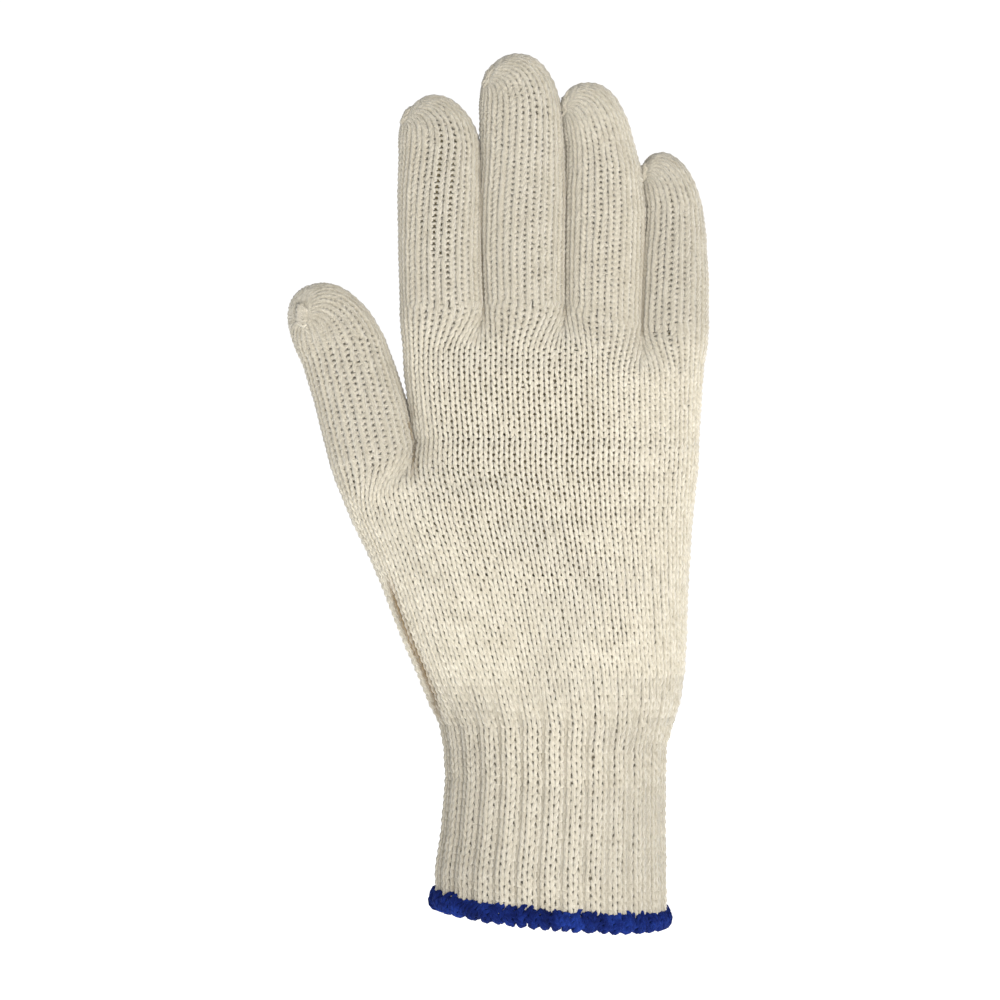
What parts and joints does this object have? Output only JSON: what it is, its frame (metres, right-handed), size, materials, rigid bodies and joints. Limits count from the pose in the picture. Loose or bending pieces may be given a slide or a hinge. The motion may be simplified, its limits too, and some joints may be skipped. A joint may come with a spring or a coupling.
{
  "type": "flame retardant knit glove",
  "caption": "Seamless string-knit work glove in its worn form, hollow, with four fingers and a thumb, a ribbed cuff and an overedge thread hem.",
  "frame": {"origin": "centre of the wrist opening at the lower edge of the cuff, where the hand goes in", "axes": "+Z from the wrist opening to the fingertips, +X to the little finger, -Y the side that the picture shows; Y is the thickness of the hand"},
  "size_m": [0.1215, 0.0456, 0.2538],
  "materials": {
    "cream_knit": "plain-knitted natural cream spun yarn, matt and slightly hairy, with open stitch holes and darker flecks",
    "cream_rib": "the same cream yarn knitted with elastic into deep vertical ribs, matt",
    "blue_thread": "bulky royal blue overedge thread, matt with a faint sheen on each strand"
  },
  "bodies": {
    "root": {"palm": "cream_knit", "index_finger": "cream_knit", "middle_finger": "cream_knit", "ring_finger": "cream_knit", "little_finger": "cream_knit", "thumb": "cream_knit", "cuff": "cream_rib", "hem": "blue_thread"}
  },
  "joints": []
}
